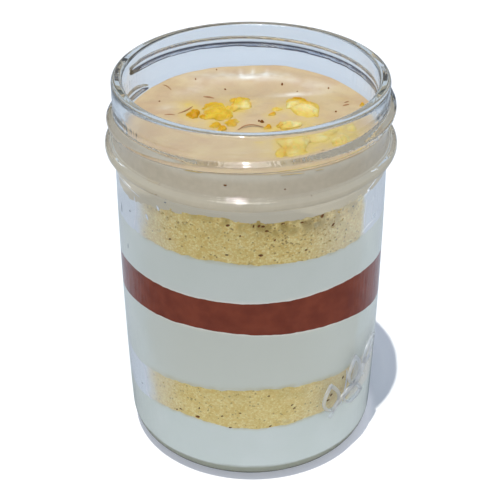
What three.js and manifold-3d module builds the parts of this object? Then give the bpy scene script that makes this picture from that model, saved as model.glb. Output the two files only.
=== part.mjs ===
// A layered dessert in a clear wide-mouth screw-neck jar, standing open on its base.
// Millimetres, +Z up, origin at the middle of the underside. The front is -Y.
// Round the jar, angles are measured in degrees from the front towards +X.
import * as THREE from "three";
import { mergeVertices } from "three/addons/utils/BufferGeometryUtils.js";
import Module from "manifold-3d";

const wasm = await Module();
wasm.setup();

// ---- the jar's driving dimensions ----
const JAR_HEIGHT = 124.8;
const WIDEST_BODY = 41.7; // radius, three quarters of the way up the straight side
const WIDEST_AT = 0.75;
const BODY_DRAFT = 2.45; // how much the side draws in, per squared share of its height
const FOOT_RADIUS = 32.8; // the flat that the jar stands on
const HEEL_HEIGHT = 8.1;
const SHOULDER_Z = 101; // where the side meets the bead
const BEAD_Z = 103.85;
const BEAD_RADIUS = 44.45;
const BEAD_HALF_HEIGHT = 1.95;
const NECK_RADIUS = 41.65;
const NECK_Z = 107.8; // foot of the straight neck
const LIP_ROUND = 1.3; // radius of the lip's outer edge
const LIP_INNER_ROUND = 1;
const WALL = 3.3;
const FLOOR_Z = 5.2; // the glass under the contents is this thick
const INNER_HEEL_HEIGHT = 9;
const INNER_HEEL_WIDTH = 10;

// ---- the screw thread: one turn of a single rounded ridge ----
const THREAD_PITCH = 5.08;
const THREAD_START = -126; // degrees, its low end, behind the left side
const THREAD_END = 252; // its high end, just past the low one
const THREAD_FRONT_Z = 115.65; // height of the ridge at the front
const THREAD_CREST = 43.6;
const THREAD_ROOT = 40.8; // set into the wall
const THREAD_ROOT_WIDTH = 4;
const THREAD_CREST_WIDTH = 1.8;
const THREAD_TAPER = 13; // degrees over which each end runs out
// The low end dips more steeply over its first degrees, which spaces it from the high end.
const LEAD_IN = 3.05;
// It hangs a little under an even climb at the right.
const SAG = 0.55;
const SAG_ANGLE = 95;
const SAG_DEGREES = 50;

// ---- fineness and clearance ----
const ROUND_STEPS = 60; // facets round the jar
const LAYER_STEPS = 44; // facets round a layer
const GAP = 0.3; // between pieces that touch

// ---- the boundaries between the layers, where they meet the glass ----
// Each has a level and a few swells [height, centre angle, width in degrees].
const BOUNDARIES = {
  lowerCrumbBottom: { level: 21.4, swells: [[1.2, -31, 14], [1.3, 35, 16], [-1.9, -68, 14]] },
  lowerCrumbTop: { level: 34.4, swells: [[2.3, 8, 34], [-1.3, -66, 18], [0.8, 160, 40]] },
  chocolateBottom: { level: 57, swells: [[1.2, -17, 28], [-6.2, 88, 36], [-2.8, -95, 26]] },
  chocolateTop: { level: 69, swells: [[0.7, 42, 20], [-2.4, 98, 26], [-3.2, -98, 24]] },
  upperCrumbBottom: { level: 82.6, swells: [[0.5, -40, 30], [-0.5, 28, 24]] },
  upperCrumbTop: { level: 96.5, swells: [[1.2, -14, 14], [-3.6, -64, 16], [0.5, 140, 30]] },
  mousseTop: { level: 110, swells: [[-0.7, -112, 22], [0.8, 164, 14], [-0.6, 120, 16]] },
};
const CREAM_FLOOR = { level: FLOOR_Z, swells: [] };

// ---- the pieces of topping on the mousse ----
// at: middle; size: length, width, height; turn: degrees; bend: how far the ends curve aside.
const TOPPINGS = [
  { name: "topping_gold", at: [-10.6, 3.7], size: [11.8, 8.4, 3.4], turn: 78, bend: 0.5, phase: 0.4 },
  { name: "topping_pale", at: [-3.4, 9.3], size: [10.6, 5.4, 2.8], turn: 72, bend: 0.9, phase: 2.1 },
  { name: "topping_orange", at: [-17.6, 2.2], size: [5.4, 3.8, 3], turn: 80, bend: 0, phase: 1.2 },
  { name: "topping_right", at: [15.6, 7.6], size: [16, 8.6, 3.6], turn: 116, bend: 1.6, phase: 3.3 },
  { name: "topping_middle", at: [11.6, -4.6], size: [7.4, 4.6, 2.4], turn: 20, bend: 0.8, phase: 5 },
  { name: "topping_front", at: [11.3, -16.6], size: [13.5, 8.6, 3.2], turn: 112, bend: 1.4, phase: 4.2 },
  { name: "topping_edge", at: [25.6, -14], size: [7.2, 5.2, 2.8], turn: 55, bend: 0.7, phase: 0.9 },
];
const OUTLINE_WAVES = [[0.1, 3], [0.06, 5]]; // share of the radius, waves round a topping
const BELLY = 0.3; // height of a topping's widest outline, as a share of its whole height

const material = (color, roughness, metalness = 0) =>
  new THREE.MeshStandardMaterial({ color, roughness, metalness });
const glass = material(0xd5e0e0, 0.03);
glass.transparent = true;
glass.opacity = 0.35;
const cream = material(0xeef0ea, 0.45);
const crumb = material(0xd2bb7c, 0.95);
const chocolate = material(0x6f3524, 0.4);
const mousse = material(0xd9c6a5, 0.6);
const paleTopping = material(0xe2cf74, 0.5);
const goldTopping = material(0xd6a52c, 0.45);

const { degToRad: radians, radToDeg: degrees, lerp, clamp } = THREE.MathUtils;

// Outer radius of the straight side at a height: widest near the top, drawn in a little below.
function bodyRadius(z) {
  const share = (z - HEEL_HEIGHT) / (SHOULDER_Z - HEEL_HEIGHT);
  return WIDEST_BODY - BODY_DRAFT * (share - WIDEST_AT) ** 2;
}

// Inner radius of the glass at a height: the wall's thickness inside the straight side, the same
// all the way up the neck, with an elliptical quarter where the wall turns into the floor.
function innerRadius(z) {
  const straight = bodyRadius(clamp(z, HEEL_HEIGHT, SHOULDER_Z)) - WALL;
  const fall = clamp(1 - (z - FLOOR_Z) / INNER_HEEL_HEIGHT, 0, 1);
  return straight - INNER_HEEL_WIDTH * (1 - Math.sqrt(1 - fall * fall));
}

// Points of an elliptical arc about a centre, both ends included.
function arc([x, y], [halfWidth, halfHeight], fromDegrees, toDegrees, steps) {
  return Array.from({ length: steps + 1 }, (_, i) => {
    const a = radians(lerp(fromDegrees, toDegrees, i / steps));
    return new THREE.Vector2(x + halfWidth * Math.cos(a), y + halfHeight * Math.sin(a));
  });
}

// Evenly spaced points of a side whose radius is a function of height.
function side(radiusAt, fromZ, toZ, steps) {
  return Array.from({ length: steps + 1 }, (_, i) => {
    const z = lerp(fromZ, toZ, i / steps);
    return new THREE.Vector2(radiusAt(z), z);
  });
}

// The jar's closed section, up the outside and down the inside.
function jarProfile() {
  const heelWidth = bodyRadius(HEEL_HEIGHT) - FOOT_RADIUS;
  const beadRoot = NECK_RADIUS + 0.4;
  const floorRadius = innerRadius(FLOOR_Z);
  const lipTop = JAR_HEIGHT - LIP_ROUND;
  const neckInner = innerRadius(JAR_HEIGHT);
  return [
    new THREE.Vector2(0, 0),
    ...arc([FOOT_RADIUS, HEEL_HEIGHT], [heelWidth, HEEL_HEIGHT], -90, 0, 5),
    ...side(bodyRadius, HEEL_HEIGHT, SHOULDER_Z, 4).slice(1),
    ...arc([beadRoot, BEAD_Z], [BEAD_RADIUS - beadRoot, BEAD_HALF_HEIGHT], -90, 90, 6),
    new THREE.Vector2(NECK_RADIUS, NECK_Z),
    ...arc([NECK_RADIUS - LIP_ROUND, lipTop], [LIP_ROUND, LIP_ROUND], 0, 90, 3),
    ...arc([neckInner + LIP_INNER_ROUND, JAR_HEIGHT - LIP_INNER_ROUND],
      [LIP_INNER_ROUND, LIP_INNER_ROUND], 90, 180, 2),
    ...side(innerRadius, SHOULDER_Z, FLOOR_Z + INNER_HEEL_HEIGHT, 3),
    ...innerHeel(),
    new THREE.Vector2(floorRadius, FLOOR_Z),
    new THREE.Vector2(0, FLOOR_Z),
  ];
}

// The inner heel's points between the wall and the floor, closer together where it is tighter.
function innerHeel() {
  return [0.7, 0.45, 0.25, 0.1].map((share) => {
    const z = FLOOR_Z + INNER_HEEL_HEIGHT * share;
    return new THREE.Vector2(innerRadius(z), z);
  });
}

// A geometry's vertices moved by a function, with equal ones merged so that the surface closes.
function mapped(geometry, move) {
  geometry.deleteAttribute("normal");
  geometry.deleteAttribute("uv");
  const position = geometry.getAttribute("position");
  const v = new THREE.Vector3();
  for (let i = 0; i < position.count; i++) {
    v.fromBufferAttribute(position, i);
    move(v);
    position.setXYZ(i, v.x, v.y, v.z);
  }
  return mergeVertices(geometry, 1e-4);
}

// Turns a shape made round +Y so that its axis is +Z.
function standUp(v) {
  v.set(v.x, -v.z, v.y);
}

function asSolid(geometry) {
  return new wasm.Manifold(new wasm.Mesh({
    numProp: 3,
    vertProperties: new Float32Array(geometry.getAttribute("position").array),
    triVerts: new Uint32Array(geometry.index.array),
  }));
}

function asGeometry(solid) {
  const made = solid.getMesh();
  const geometry = new THREE.BufferGeometry();
  geometry.setAttribute("position", new THREE.BufferAttribute(made.vertProperties, 3));
  geometry.setIndex(new THREE.BufferAttribute(made.triVerts, 1));
  geometry.computeVertexNormals();
  return geometry;
}

// The thread: a box bent along a helix, narrower at its crest, that sinks into the wall at both ends.
function threadGeometry() {
  const steps = 66;
  const bar = new THREE.BoxGeometry(1, 1, 1, 1, steps, 2);
  return mapped(bar, (v) => {
    const along = v.y + 0.5;
    const angle = lerp(THREAD_START, THREAD_END, along);
    const fromEnd = Math.min(angle - THREAD_START, THREAD_END - angle);
    const full = THREE.MathUtils.smoothstep(fromEnd, -THREAD_TAPER / 4, THREAD_TAPER);
    const isCrest = v.x > 0;
    const crest = lerp(THREAD_ROOT + 0.4, THREAD_CREST, full) - (v.z === 0 ? 0 : 0.25 * full);
    const radius = isCrest ? crest : THREAD_ROOT;
    const width = isCrest ? THREAD_CREST_WIDTH : THREAD_ROOT_WIDTH;
    const leadIn = LEAD_IN * Math.max(0, angle / THREAD_START) ** 1.15;
    const sag = SAG * Math.exp(-(((angle - SAG_ANGLE) / SAG_DEGREES) ** 2));
    const z = THREAD_FRONT_Z + (THREAD_PITCH * angle) / 360 - leadIn - sag + v.z * width;
    v.set(radius * Math.sin(radians(angle)), -radius * Math.cos(radians(angle)), z);
  });
}

function jarGeometry() {
  const shell = mapped(new THREE.LatheGeometry(jarProfile(), ROUND_STEPS), standUp);
  return asGeometry(asSolid(shell).add(asSolid(threadGeometry())));
}

// Height of a boundary at a point: its level, plus each swell as a bell over the angle between the
// point and the swell's centre, faded towards the jar's axis.
function boundaryHeight(boundary, x, y) {
  const angle = degrees(Math.atan2(x, -y));
  const reach = Math.min(1, (x * x + y * y) / (WIDEST_BODY - WALL) ** 2);
  return boundary.swells.reduce((height, [rise, centre, width]) => {
    const away = THREE.MathUtils.euclideanModulo(angle - centre + 180, 360) - 180;
    return height + rise * reach * Math.exp(-((away / width) ** 2));
  }, boundary.level);
}

// A layer: a unit puck whose radius is stretched to the inner wall less the gap, and whose height
// runs from one boundary to the next. Below the first layer is the glass floor.
function layerGeometry(lower, upper, sideShares) {
  const puck = [
    [0, 0],
    [0.55, 0],
    ...sideShares.map((share) => [1, share]),
    [0.55, 1],
    [0, 1],
  ].map(([radius, share]) => new THREE.Vector2(radius, share));
  return mapped(new THREE.LatheGeometry(puck, LAYER_STEPS), (v) => {
    standUp(v);
    const { x, y, z: share } = v;
    const wall = WIDEST_BODY - WALL;
    const low = boundaryHeight(lower, x * wall, y * wall) + GAP / 2;
    const high = boundaryHeight(upper, x * wall, y * wall) - GAP / 2;
    const z = lerp(low, high, share);
    const radius = innerRadius(z - GAP) - GAP;
    v.set(x * radius, y * radius, z);
  });
}

// A topping: a ball stretched to its size with a wavy outline and a broad low foot, bent sideways
// along its length, and set just over the mousse.
function toppingGeometry({ at, size, turn, bend, phase }) {
  const [length, width, height] = size;
  const cos = Math.cos(radians(turn));
  const sin = Math.sin(radians(turn));
  return mapped(new THREE.SphereGeometry(1, 12, 7), (v) => {
    standUp(v);
    const around = Math.atan2(v.y, v.x);
    const wave = OUTLINE_WAVES.reduce((sum, [depth, count]) =>
      sum + depth * Math.sin(count * around + phase * count), 1);
    const along = (v.x * wave * length) / 2;
    const aside = (v.y * wave * width) / 2 + bend * (v.x * v.x - 0.5);
    const x = at[0] + along * cos - aside * sin;
    const y = at[1] + along * sin + aside * cos;
    const rise = v.z > 0 ? BELLY + (1 - BELLY) * v.z : BELLY * (1 + v.z);
    v.set(x, y, boundaryHeight(BOUNDARIES.mousseTop, x, y) + GAP + height * rise);
  });
}

const part = new THREE.Group();
part.name = "smores_jar";

function addNode(name, geometry, finish) {
  geometry.computeVertexNormals();
  const mesh = new THREE.Mesh(geometry, finish);
  mesh.name = name;
  part.add(mesh);
}

addNode("jar", jarGeometry(), glass);

const b = BOUNDARIES;
const STRAIGHT = [0, 0.5, 1];
const FOLLOW_HEEL = [0, 0.06, 0.14, 0.26, 0.42, 0.6, 1];
const LAYERS = [
  ["cream_bottom", CREAM_FLOOR, b.lowerCrumbBottom, FOLLOW_HEEL, cream],
  ["crumb_lower", b.lowerCrumbBottom, b.lowerCrumbTop, STRAIGHT, crumb],
  ["cream_middle", b.lowerCrumbTop, b.chocolateBottom, STRAIGHT, cream],
  ["chocolate", b.chocolateBottom, b.chocolateTop, STRAIGHT, chocolate],
  ["cream_upper", b.chocolateTop, b.upperCrumbBottom, STRAIGHT, cream],
  ["crumb_upper", b.upperCrumbBottom, b.upperCrumbTop, STRAIGHT, crumb],
  ["mousse", b.upperCrumbTop, b.mousseTop, STRAIGHT, mousse],
];
for (const [name, lower, upper, sideShares, finish] of LAYERS) {
  addNode(name, layerGeometry(lower, upper, sideShares), finish);
}
for (const topping of TOPPINGS) {
  const finish = ["topping_gold", "topping_orange"].includes(topping.name) ? goldTopping : paleTopping;
  addNode(topping.name, toppingGeometry(topping), finish);
}

export default part;
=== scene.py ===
import math

import bpy
import numpy as np
from mathutils import Euler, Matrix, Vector


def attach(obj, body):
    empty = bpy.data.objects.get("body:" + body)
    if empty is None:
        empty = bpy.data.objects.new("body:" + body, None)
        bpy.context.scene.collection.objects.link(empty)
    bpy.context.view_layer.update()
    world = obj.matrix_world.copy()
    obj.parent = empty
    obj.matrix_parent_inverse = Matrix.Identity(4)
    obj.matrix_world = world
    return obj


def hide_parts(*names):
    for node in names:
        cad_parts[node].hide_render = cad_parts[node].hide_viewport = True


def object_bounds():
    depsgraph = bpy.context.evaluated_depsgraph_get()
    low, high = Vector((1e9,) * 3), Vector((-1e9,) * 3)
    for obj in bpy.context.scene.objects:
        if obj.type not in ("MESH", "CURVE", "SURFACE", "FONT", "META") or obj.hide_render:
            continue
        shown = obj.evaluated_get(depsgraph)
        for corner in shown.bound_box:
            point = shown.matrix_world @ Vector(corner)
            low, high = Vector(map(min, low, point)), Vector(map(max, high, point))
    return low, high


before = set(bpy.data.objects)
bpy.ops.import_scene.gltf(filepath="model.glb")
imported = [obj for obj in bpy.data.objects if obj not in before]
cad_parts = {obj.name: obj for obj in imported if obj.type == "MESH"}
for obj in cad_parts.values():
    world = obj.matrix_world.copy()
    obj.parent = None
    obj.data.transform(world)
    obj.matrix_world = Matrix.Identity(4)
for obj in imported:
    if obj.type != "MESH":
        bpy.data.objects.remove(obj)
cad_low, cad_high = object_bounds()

# A layered dessert in a clear wide-mouth screw-neck jar.
# Lengths below are millimetres and go into the meshes as metres. The origin is under the middle
# of the jar, +Z is up, and the front is -Y. Angles round the jar are degrees from the front
# towards +X.
MM = 0.001

# ---- camera ----
CAMERA_PITCH = 31.92
CAMERA_DISTANCE = 0.42
CAMERA_LENS = 93.8
CAMERA_SHIFT = (-0.002, 0.0032)

target = (cad_low + cad_high) / 2
pitch = math.radians(CAMERA_PITCH)
camera_data = bpy.data.cameras.new("camera")
camera_data.sensor_width = 36
camera_data.lens = CAMERA_LENS
camera_data.shift_x, camera_data.shift_y = CAMERA_SHIFT
camera = bpy.data.objects.new("camera", camera_data)
camera.location = target + CAMERA_DISTANCE * Vector((0, -math.cos(pitch), math.sin(pitch)))
camera.rotation_euler = Euler((math.pi / 2 - pitch, 0, 0))
bpy.context.scene.collection.objects.link(camera)
bpy.context.scene.camera = camera

# ---- the jar's dimensions, as in the part's source ----
JAR_HEIGHT = 124.8
WIDEST_BODY = 41.7
WIDEST_AT = 0.75
BODY_DRAFT = 2.45
FOOT_RADIUS = 32.8
HEEL_HEIGHT = 8.1
SHOULDER_Z = 101
BEAD_Z = 103.85
BEAD_RADIUS = 44.45
BEAD_HALF_HEIGHT = 1.95
BEAD_FILLET = 0.6
NECK_RADIUS = 41.65
BEAD_ROOT = NECK_RADIUS + 0.4
GROOVE_FROM = 97  # from here up the rows are close enough for a faint ridge and a groove
GROOVE_Z = 100.75
GROOVE_DEPTH = 0.6
GROOVE_HALF_WIDTH = 0.42
RIDGE_Z = 98.2
RIDGE_HEIGHT = 0.09
RIDGE_HALF_WIDTH = 0.34
NECK_Z = 107.8
LIP_ROUND = 1.3
LIP_INNER_ROUND = 1.0
WALL = 3.3
FLOOR_Z = 5.2
PUSH_UP = 1.1
INNER_HEEL_HEIGHT = 9
INNER_HEEL_WIDTH = 10
THREAD_PITCH = 5.08
THREAD_START = -126
THREAD_END = 252
THREAD_FRONT_Z = 115.65
THREAD_CREST = 43.6
THREAD_TAPER = 13
THREAD_HALF_WIDTH = 1.75
THREAD_LEAD_IN = 3.05  # how far its low end dips under the even climb
THREAD_SAG = 0.55  # how far it hangs under the even climb at the right
THREAD_SAG_ANGLE = 95
THREAD_SAG_WIDTH = 50

# ---- the boundaries between the layers, from the bottom up ----
# Each has its level and its swells: height, centre angle, width.
FLOOR = (2.9, [])  # the glass floor shows the cream on it almost down to the base
LOWER_CRUMB_BOTTOM = (21.4, [[1.2, -31, 14], [1.3, 35, 16], [-1.9, -68, 14]])
LOWER_CRUMB_TOP = (34.4, [[2.3, 8, 34], [-1.3, -66, 18], [0.8, 160, 40]])
CHOCOLATE_BOTTOM = (57, [[1.2, -17, 28], [-6.2, 88, 36], [-2.8, -95, 26]])
CHOCOLATE_TOP = (69, [[0.7, 42, 20], [-2.4, 98, 26], [-3.2, -98, 24]])
UPPER_CRUMB_BOTTOM = (82.6, [[0.5, -40, 30], [-0.5, 28, 24]])
UPPER_CRUMB_TOP = (96.5, [[1.2, -14, 14], [-3.6, -64, 16], [0.5, 140, 30]])
MOUSSE_TOP = (110, [[-0.7, -112, 22], [0.8, 164, 14], [-0.6, 120, 16]])
BOUNDARIES = [FLOOR, LOWER_CRUMB_BOTTOM, LOWER_CRUMB_TOP, CHOCOLATE_BOTTOM, CHOCOLATE_TOP,
              UPPER_CRUMB_BOTTOM, UPPER_CRUMB_TOP, MOUSSE_TOP]
UNEVEN = [0, 0.35, 0.3, 0.12, 0.12, 0.35, 0.65, 0]  # how ragged each boundary is
INTO_WALL = 0.14  # how far the food reaches into the glass, so that no air shows between them
HEEL_SKIN = 2.4  # glass left outside the food at the heel
CRISP_EDGE = 0.05  # an extra row this near a layer's edge keeps its side's shading square
FOOD_RADIUS = 38.3  # at the mousse's rim
TOP_FROM = 104  # rings of the mousse above this are its top, and not its underside
WALL_MARKS_RADIUS = 38  # turns lengths along the glass into angles


# ---- shapes shared by the pieces ----

def lattice_value(i, j, k, seed):
    """A fixed value from 0 to 1 for each whole-numbered point: the three numbers and the seed
    multiplied by large primes, folded together and scrambled."""
    n = (i * 73856093) ^ (j * 19349663) ^ (k * 83492791) ^ (seed * 49979687)
    n = (n & 0xFFFFFFFF).astype(np.uint64)
    n = ((n ^ (n >> np.uint64(15))) * np.uint64(2246822519)) & np.uint64(0xFFFFFFFF)
    n = ((n ^ (n >> np.uint64(13))) * np.uint64(3266489917)) & np.uint64(0xFFFFFFFF)
    return (n ^ (n >> np.uint64(16))).astype(float) / 0xFFFFFFFF


def soft_noise(points, size, seed):
    """Smooth noise from -1 to 1: the values at the corners of the cubic cell of the given size
    round each point, blended along each axis by 3t² - 2t³."""
    cell = np.asarray(points, float) / size
    base = np.floor(cell).astype(np.int64)
    t = cell - base
    t = t * t * (3 - 2 * t)
    total = 0
    for corner in range(8):
        step = np.array([corner & 1, corner >> 1 & 1, corner >> 2 & 1])
        weight = np.prod(np.where(step, t, 1 - t), axis=-1)
        total = total + weight * lattice_value(*np.moveaxis(base + step, -1, 0), seed)
    return 2 * total - 1


def layered_noise(points, size, seed, octaves=3):
    """Soft noise added to itself at half the size and half the height each time."""
    return sum(soft_noise(points, size / 2 ** n, seed + n) / 2 ** n for n in range(octaves))


def grain_noise(points, size, seed):
    """Distance, in cells, from each point to the nearest of the grains' middles, which lie one
    to a cubic cell at a random place, and a random value from 0 to 1 for that grain."""
    cell = np.asarray(points, float) / size
    base = np.floor(cell).astype(np.int64)
    nearest = np.full(base.shape[:-1], 9.0)
    value = np.zeros(base.shape[:-1])
    for n in range(27):
        step = np.array([n % 3, n // 3 % 3, n // 9]) - 1
        i, j, k = np.moveaxis(base + step, -1, 0)
        place = np.stack([lattice_value(i, j, k, seed + s) for s in range(3)], axis=-1)
        away = np.linalg.norm(base + step + place - cell, axis=-1)
        closer = away < nearest
        nearest = np.where(closer, away, nearest)
        value = np.where(closer, lattice_value(i, j, k, seed + 3), value)
    return nearest, value


def ease(low, high, x):
    """0 below low, 1 above high, and 3t² - 2t³ between."""
    t = np.clip((x - low) / (high - low), 0, 1)
    return t * t * (3 - 2 * t)


def apart(angle, centre):
    """How far an angle is past a centre, the short way round, in degrees."""
    return (angle - centre + 180) % 360 - 180


def angle_of(x, y):
    """The angle from the front, in degrees."""
    return np.degrees(np.arctan2(x, -y))


def place(radius, angle, z):
    """Points at a radius, an angle from the front and a height."""
    a = np.radians(angle)
    return np.stack(np.broadcast_arrays(radius * np.sin(a), -radius * np.cos(a), z), axis=-1)


def body_radius(z):
    """The outer radius of the side: its widest, less its draft times the squared share of the
    side's height from there."""
    share = (z - HEEL_HEIGHT) / (SHOULDER_Z - HEEL_HEIGHT)
    return WIDEST_BODY - BODY_DRAFT * (share - WIDEST_AT) ** 2


def inner_radius(z):
    """The outer radius less the wall, with an elliptical quarter at the floor."""
    straight = body_radius(np.clip(z, HEEL_HEIGHT, SHOULDER_Z)) - WALL
    fall = np.clip(1 - (z - FLOOR_Z) / INNER_HEEL_HEIGHT, 0, 1)
    return straight - INNER_HEEL_WIDTH * (1 - np.sqrt(1 - fall * fall))


def filling_radius(z):
    """How far the food reaches: just into the glass at the side, and well into the heel, whose
    thick glass shows the food out to its rounded edge."""
    heel = outer_radius(z) - HEEL_SKIN
    return np.minimum(inner_radius(np.maximum(z, FLOOR_Z + INNER_HEEL_HEIGHT)) + INTO_WALL, heel)


def outer_radius(z):
    """The jar's outer radius at a height: the heel's elliptical quarter, then the straight side."""
    fall = np.clip(1 - z / HEEL_HEIGHT, 0, 1)
    width = body_radius(HEEL_HEIGHT) - FOOT_RADIUS
    return body_radius(np.maximum(z, HEEL_HEIGHT)) - width * (1 - np.sqrt(1 - fall * fall))


def boundary_height(boundary, x, y):
    """A boundary's level plus its swells: bells over the angle, faded towards the axis."""
    level, swells = boundary
    angle = angle_of(x, y)
    reach = np.minimum(1, (x * x + y * y) / (WIDEST_BODY - WALL) ** 2)
    height = level + 0 * angle
    for rise, centre, width in swells:
        height = height + rise * reach * np.exp(-(apart(angle, centre) / width) ** 2)
    return height


def put_mesh(name, points, faces, material, slot, nodes=(), tones=None, smooth=None):
    """Makes a piece from points in millimetres and arrays of corner numbers, one array for each
    number of corners, turned to face outwards. tones are named values per point. smooth says
    which faces of the first array are shaded smooth; the rest are then flat."""
    points = np.asarray(points, float).reshape(-1, 3)
    volume = 0
    for corners in faces:
        first = points[corners[:, 0]]
        for n in range(1, corners.shape[1] - 1):
            second, third = points[corners[:, n]], points[corners[:, n + 1]]
            volume += np.sum(first * np.cross(second, third))
    if volume < 0:
        faces = [corners[:, ::-1] for corners in faces]
    mesh = bpy.data.meshes.new(name)
    mesh.vertices.add(len(points))
    mesh.vertices.foreach_set("co", (points * MM).ravel())
    counts = np.concatenate([np.full(len(c), c.shape[1]) for c in faces])
    loops = np.concatenate([c.ravel() for c in faces]).astype(np.int32)
    mesh.loops.add(len(loops))
    mesh.loops.foreach_set("vertex_index", loops)
    mesh.polygons.add(len(counts))
    mesh.polygons.foreach_set("loop_start", np.concatenate([[0], np.cumsum(counts)[:-1]]))
    shading = np.ones(len(counts), bool)
    if smooth is not None:
        shading[:] = False
        shading[:len(smooth)] = smooth
    mesh.polygons.foreach_set("use_smooth", shading)
    mesh.update(calc_edges=True)
    for title, values in (tones or {}).items():
        layer = mesh.attributes.new(title, "FLOAT", "POINT")
        layer.data.foreach_set("value", np.asarray(values, float).ravel())
    mesh.materials.append(material)
    piece = bpy.data.objects.new(name, mesh)
    bpy.context.scene.collection.objects.link(piece)
    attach(piece, "root")
    if nodes:
        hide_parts(*nodes)


def ring_faces(rows, columns, first=0):
    """Quads between each row of a closed ring of columns and the next row."""
    r, c = np.meshgrid(np.arange(rows - 1), np.arange(columns), indexing="ij")
    here, beside = r * columns + c, r * columns + (c + 1) % columns
    quads = np.stack([here, beside, beside + columns, here + columns], axis=-1)
    return quads.reshape(-1, 4) + first


def fan_faces(pole, start, columns, turned):
    """Triangles between a pole and the row of columns that starts at a number."""
    c = np.arange(columns)
    sides = [start + c, start + (c + 1) % columns]
    if turned:
        sides.reverse()
    return np.stack([np.full(columns, pole), *sides], axis=-1)


def closed_grid(grid, poles=None):
    """Points and faces of a surface of rows of rings, closed by a pole at each end: the middle of
    the ring there, unless the poles are given."""
    rows, columns = grid.shape[:2]
    first_pole, last_pole = (grid[0].mean(0), grid[-1].mean(0)) if poles is None else poles
    points = np.concatenate([[first_pole], grid.reshape(-1, 3), [last_pole]])
    last = 1 + (rows - 1) * columns
    fans = [fan_faces(0, 1, columns, True), fan_faces(len(points) - 1, last, columns, False)]
    return points, [ring_faces(rows, columns, 1), np.concatenate(fans)]


def swept(path, radii, sides=8, flat=1.0, facing=(0, 0, 1.0)):
    """A tube: a ring of points round each point of a path, square to its course, with each
    ring's radius given. flat is its thickness along the way it faces as a share."""
    path = np.asarray(path, float)
    course = np.gradient(path, axis=0)
    course /= np.linalg.norm(course, axis=1, keepdims=True)
    across = np.cross(course, facing)
    across /= np.linalg.norm(across, axis=1, keepdims=True) + 1e-9
    up = np.cross(across, course)
    turn = np.linspace(0, 2 * np.pi, sides, endpoint=False)
    ring = (across[:, None] * np.cos(turn)[None, :, None]
            + up[:, None] * np.sin(turn)[None, :, None] * flat)
    grid = path[:, None] + ring * np.asarray(radii)[:, None, None]
    return closed_grid(grid, (path[0], path[-1]))


def ball_angles(rows, columns):
    """The latitudes of a ball's rows without its poles, and the angles round it."""
    latitude = np.linspace(-np.pi / 2, np.pi / 2, rows)[1:-1, None]
    return latitude, np.linspace(0, 2 * np.pi, columns, endpoint=False)[None, :]


def smooth_curve(path, steps, rounds):
    """The shares along a path and its points there: even steps between its knots, then each point
    averaged with its neighbours, itself counted twice, a number of times."""
    path = np.array(path, float)
    share = np.linspace(0, 1, steps)
    knots = np.linspace(0, 1, len(path))
    curve = np.stack([np.interp(share, knots, column) for column in path.T], 1)
    for _ in range(rounds):
        curve[1:-1] = (curve[:-2] + 2 * curve[1:-1] + curve[2:]) / 4
    return share, curve


def joined(parts):
    """Many (points, faces) as one, with their corner numbers moved on."""
    points, quads, triangles, count = [], [], [], 0
    for part_points, part_faces in parts:
        for corners in part_faces:
            (quads if corners.shape[1] == 4 else triangles).append(corners + count)
        points.append(part_points)
        count += len(part_points)
    faces = [np.concatenate(kind) for kind in (quads, triangles) if kind]
    return np.concatenate(points), faces


# ---- materials ----

def new_group(name, inputs, outputs):
    """A shader node group with the named sockets, and its input and output nodes."""
    group = bpy.data.node_groups.new(name, "ShaderNodeTree")
    for title, kind, value in inputs:
        socket = group.interface.new_socket(title, in_out="INPUT", socket_type="NodeSocket" + kind)
        socket.default_value = value
    for title, kind in outputs:
        group.interface.new_socket(title, in_out="OUTPUT", socket_type="NodeSocket" + kind)
    return group, group.nodes.new("NodeGroupInput"), group.nodes.new("NodeGroupOutput")


def add_node(tree, kind, settings=None, **inputs):
    """A node with its settings, and its inputs set to values or linked to sockets."""
    node = tree.nodes.new("ShaderNode" + kind)
    for title, value in (settings or {}).items():
        setattr(node, title, value)
    for title, value in inputs.items():
        socket = node.inputs[int(title[1:]) if title[1:].isdigit() else title.replace("_", " ")]
        if isinstance(value, bpy.types.NodeSocket):
            tree.links.new(value, socket)
        else:
            socket.default_value = value
    return node


def mixed(tree, share, first, second):
    """The colour between two colours at a share."""
    node = tree.nodes.new("ShaderNodeMix")
    node.data_type = "RGBA"
    for index, value in ((0, share), (6, first), (7, second)):
        if isinstance(value, bpy.types.NodeSocket):
            tree.links.new(value, node.inputs[index])
        else:
            node.inputs[index].default_value = value
    return node.outputs[2]


def stepped(tree, value, low, high):
    """0 to 1, smoothly, as a value goes from low to high."""
    node = add_node(tree, "MapRange", {"interpolation_type": "SMOOTHSTEP"}, Value=value)
    node.inputs["From Min"].default_value = low
    node.inputs["From Max"].default_value = high
    return node.outputs["Result"]


def maths(tree, operation, first, second, third=0.0):
    """The result of an operation on numbers or sockets."""
    return add_node(tree, "Math", {"operation": operation}, _0=first, _1=second,
                    _2=third).outputs[0]


def make_mottle():
    """Cloudy change between two colours: noise at a scale per metre, stretched round its middle
    by the contrast. Value is the height."""
    group, given, out = new_group(
        "cloudy_mottle",
        [("First", "Color", (1, 1, 1, 1)), ("Second", "Color", (0.5, 0.5, 0.5, 1)),
         ("Scale", "Float", 100.0), ("Detail", "Float", 3.0), ("Contrast", "Float", 2.0)],
        [("Color", "Color"), ("Value", "Float")])
    where = add_node(group, "TexCoord").outputs["Object"]
    noise = add_node(group, "TexNoise", Vector=where, Scale=given.outputs["Scale"],
                     Detail=given.outputs["Detail"]).outputs["Fac"]
    centred = maths(group, "SUBTRACT", noise, 0.5)
    raised = maths(group, "MULTIPLY_ADD", centred, given.outputs["Contrast"], 0.5)
    raised.node.use_clamp = True
    colour = mixed(group, raised, given.outputs["First"], given.outputs["Second"])
    group.links.new(colour, out.inputs["Color"])
    group.links.new(raised, out.inputs["Value"])
    return group


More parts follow.
